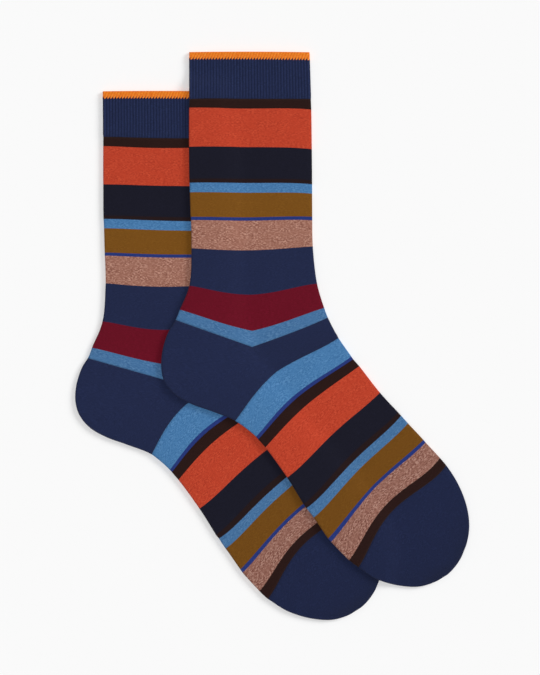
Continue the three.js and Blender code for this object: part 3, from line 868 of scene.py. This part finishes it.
def knit(sock, name, first, last, relief):
    """Makes one piece of a sock, puts it in place of its solid, and gives what the next steps need."""
    numbers = fine_rows(first, last, FINER.get(name, MESH_ROW))
    shares = rib_shares if name in SWELLS else jersey_shares
    rows, inner_rows = rows_at(sock, numbers), rows_at(sock, numbers)
    squeeze = inner_squeeze = 1.0
    if name == "toe":
        rows, squeeze = with_tip(sock, numbers, 0.0)
        inner_rows, inner_squeeze = with_tip(sock, numbers, WALL)
        numbers = np.concatenate([numbers[: len(squeeze) - TIP_STEPS - 1], np.full(TIP_STEPS + 1, numbers[-1])])
    swell = SWELLS[name](rows, shares) if name in SWELLS else None
    outer = tube_points(sock, rows, shares, swell=swell, squeeze=squeeze, relief=None if swell else relief)
    inner = tube_points(sock, inner_rows, shares, inset=WALL, squeeze=inner_squeeze)
    stitches = stitch_counter(rows, shares, pocket=name == "heel")
    bands = band_places(numbers, shares)
    piece = cloth_object(f"{sock['name']}_{name}_knit", outer, inner, stitches, bands, closed=name == "toe")
    piece.data.materials.append(materials[name])
    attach(piece, "root")
    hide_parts(f"{sock['name']}_{name}")
    # No cut has a larger area than its rectangle, so rounding is kept from giving one.
    flat, area = cut_of(rows)
    print(piece.name, len(piece.data.polygons), "faces, cut", np.round(flat, 3), "m, area", round(area, 4), "m2")
    return {"piece": piece, "outer": outer, "flat": flat, "area": min(area, flat[0] * flat[1])}


def declare_cloth(knitted, rests_on):
    """For each piece but the edging, lists the floor and what rests_on gives; the lists are not kept."""
    for name, made in knitted.items():
        if name != "edging":
            ["floor"] + rests_on(name)


# %% [markdown]
# ## The lower sock
# It lies flat on the surface, so its lift is nothing.

# %% Knit the lower sock
lower_relief = make_relief(LOWER_MOVE + MIDDLE)
lower_sock = {name: knit(lower, name, first, last, lower_relief) for name, first, last, slot in PIECES}
declare_cloth(lower_sock, lambda name: [])
lower_top = np.vstack([made["outer"].reshape(-1, 3) for made in lower_sock.values()])
lower_top = lower_top[lower_top[:, 2] > FOLD / 2]
print("points on top of the lower sock:", len(lower_top))

# %% [markdown]
# ## Laying the upper sock on it
# The upper sock drapes over the lower one and comes down to the surface beside it. That could be simulated, but the
# step is only 3 mm high and the cloth is soft, so a worked-out slope gives the same and is smooth. A height map over
# the plan holds it: above the lower sock it is that sock's own height and a little clearance, and beside it the
# height falls away over 12 mm. A few rounds of averaging take out the corners.

# %% The height map under the upper sock
CLEARANCE = 0.45
EDGE_REACH = 2.0
RAMP = 12.0
CELL = 1.5
AVERAGING = 4


def smoothstep(x):
    x = np.clip(x, 0, 1)
    return x * x * (3 - 2 * x)


def height_map(points, low, high):
    """Heights over a grid of places from low to high, and a function that reads them anywhere."""
    tree = KDTree(len(points))
    for number, point in enumerate(points):
        tree.insert((point[0], point[1], 0), number)
    tree.balance()
    xs, ys = np.arange(low[0], high[0] + CELL, CELL), np.arange(low[1], high[1] + CELL, CELL)
    heights = np.zeros((len(ys), len(xs)))
    for j, y in enumerate(ys):
        for i, x in enumerate(xs):
            _, number, distance = tree.find((x, y, 0))
            if distance < EDGE_REACH + RAMP:
                fall = 1 - smoothstep((distance - EDGE_REACH) / RAMP)
                heights[j, i] = (points[number, 2] + CLEARANCE) * fall
    for _ in range(AVERAGING):
        framed = np.pad(heights, 1, mode="edge")
        heights = sum(framed[1 + a : framed.shape[0] - 1 + a, 1 + b : framed.shape[1] - 1 + b]
                      for a in (-1, 0, 1) for b in (-1, 0, 1)) / 9

    def read(x, y):
        fx = np.clip((x - xs[0]) / CELL, 0, len(xs) - 1.001)
        fy = np.clip((y - ys[0]) / CELL, 0, len(ys) - 1.001)
        i, j = fx.astype(int), fy.astype(int)
        a, b = fx - i, fy - j
        return (heights[j, i] * (1 - a) * (1 - b) + heights[j, i + 1] * a * (1 - b)
                + heights[j + 1, i] * (1 - a) * b + heights[j + 1, i + 1] * a * b)

    return read


upper_low = [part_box("upper_heel")[0][0] / MM - CELL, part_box("upper_toe")[0][1] / MM - CELL]
upper_high = [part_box("upper_toe")[1][0] / MM + CELL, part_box("upper_edging")[1][1] / MM + CELL]
upper["lift"] = height_map(lower_top, upper_low, upper_high)
print("highest lift, mm:", round(float(upper["lift"](lower_top[:, 0], lower_top[:, 1]).max()), 2))

# %% Knit the upper sock
upper_relief = make_relief(MIDDLE)
upper_sock = {name: knit(upper, name, first, last, upper_relief) for name, first, last, slot in PIECES}
declare_cloth(upper_sock, lambda name: [lower_sock[name]["piece"].name])

# %% [markdown]
# ## The surface
# A white studio table, so pale that it nearly vanishes, which leaves only the soft shadow beside each sock. It is so
# wide that its edge stays out of sight from the sides too.

# %% Table top
FLOOR_SIZE = 60.0
FLOOR_DROP = 0.0001
FLOOR_COLOUR = "#fafafa"
bm = bmesh.new()
bmesh.ops.create_grid(bm, x_segments=1, y_segments=1, size=FLOOR_SIZE / 2)
bmesh.ops.translate(bm, verts=bm.verts, vec=(0, 0, -FLOOR_DROP))
floor_mesh = bpy.data.meshes.new("floor")
bm.to_mesh(floor_mesh)
bm.free()
floor = bpy.data.objects.new("floor", floor_mesh)
bpy.context.collection.objects.link(floor)
# A clean, quite matt white, which takes the soft shadows and shows no gloss.
table_top = bpy.data.materials.new("white matt laminate")
table_top.use_nodes = True
table_shader = next(node for node in table_top.node_tree.nodes if node.type == "BSDF_PRINCIPLED")
table_shader.inputs["Base Color"].default_value = linear(FLOOR_COLOUR)
table_shader.inputs["Roughness"].default_value = 1.0
table_shader.inputs["Specular IOR Level"].default_value = 0.0
floor.data.materials.append(table_top)

# %% [markdown]
# ## Light
# Product light is soft. A fill from above, which casts no shadow, and a white room keep the colours true and the
# shadows pale, and one large lamp to the upper right gives each sock its shadow on the left and below. That lamp is
# low, because the socks are only a few millimetres high. Lamp and fill are suns, so far away that the table is lit
# evenly, and the three strengths add up to the light that shows a colour as it is.

# %% World, fill and key light
KEY_SHARE = 0.25
FILL_SHARE = 0.52
KEY_ANGLE, FILL_ANGLE = math.radians(24), math.radians(60)
KEY_AZIMUTH = math.radians(28)
KEY_ELEVATION = math.radians(28)
KEY_DISTANCE = 2.0
world = bpy.data.worlds.new("studio")
world.use_nodes = True
sky = next(node for node in world.node_tree.nodes if node.type == "BACKGROUND")
sky.inputs["Color"].default_value = (1, 1, 1, 1)
sky.inputs["Strength"].default_value = 1 - KEY_SHARE - FILL_SHARE
bpy.context.scene.world = world

key = bpy.data.lights.new("key", "SUN")
key.angle = KEY_ANGLE
key.energy = KEY_SHARE * math.pi / math.sin(KEY_ELEVATION)
key_lamp = bpy.data.objects.new("key", key)
level = KEY_DISTANCE * math.cos(KEY_ELEVATION)
key_lamp.location = (
    level * math.cos(KEY_AZIMUTH), level * math.sin(KEY_AZIMUTH), KEY_DISTANCE * math.sin(KEY_ELEVATION))
key_lamp.rotation_euler = (math.pi / 2 - KEY_ELEVATION, 0, KEY_AZIMUTH + math.pi / 2)
bpy.context.collection.objects.link(key_lamp)

fill = bpy.data.lights.new("fill", "SUN")
fill.angle = FILL_ANGLE
fill.energy = FILL_SHARE * math.pi
fill.use_shadow = False
fill_lamp = bpy.data.objects.new("fill", fill)
fill_lamp.location = (0, 0, KEY_DISTANCE)
bpy.context.collection.objects.link(fill_lamp)
bpy.context.scene.view_settings.view_transform = "Standard"

# %% [markdown]
# ## Camera
# The photograph is taken from straight above with a long lens. Its frame is 540 by 675 pixels at 0.72 mm a pixel,
# and the pair's middle is a pixel or two off the middle of the frame. The scale is that of the knitting, which
# shows a few millimetres above the table.

# %% Camera straight above
FRAME_PIXELS = (540, 675)
MM_PER_PIXEL = 0.72
PAIR_MIDDLE_PIXEL = (271.5, 335.75)
CAMERA_HEIGHT = 2.0
KNIT_HEIGHT = 0.004
SENSOR = 36.0
camera_data = bpy.data.cameras.new("camera")
camera_data.sensor_fit = "VERTICAL"
camera_data.sensor_height = SENSOR
camera_data.lens = SENSOR * (CAMERA_HEIGHT - KNIT_HEIGHT) / (FRAME_PIXELS[1] * MM_PER_PIXEL * MM)
camera = bpy.data.objects.new("camera", camera_data)
off_x = (FRAME_PIXELS[0] / 2 - PAIR_MIDDLE_PIXEL[0]) * MM_PER_PIXEL + MIDDLE[0]
off_y = (PAIR_MIDDLE_PIXEL[1] - FRAME_PIXELS[1] / 2) * MM_PER_PIXEL + MIDDLE[1]
camera.location = (off_x * MM, off_y * MM, CAMERA_HEIGHT)
bpy.context.collection.objects.link(camera)
bpy.context.scene.camera = camera
print("lens, mm:", round(camera_data.lens, 1))
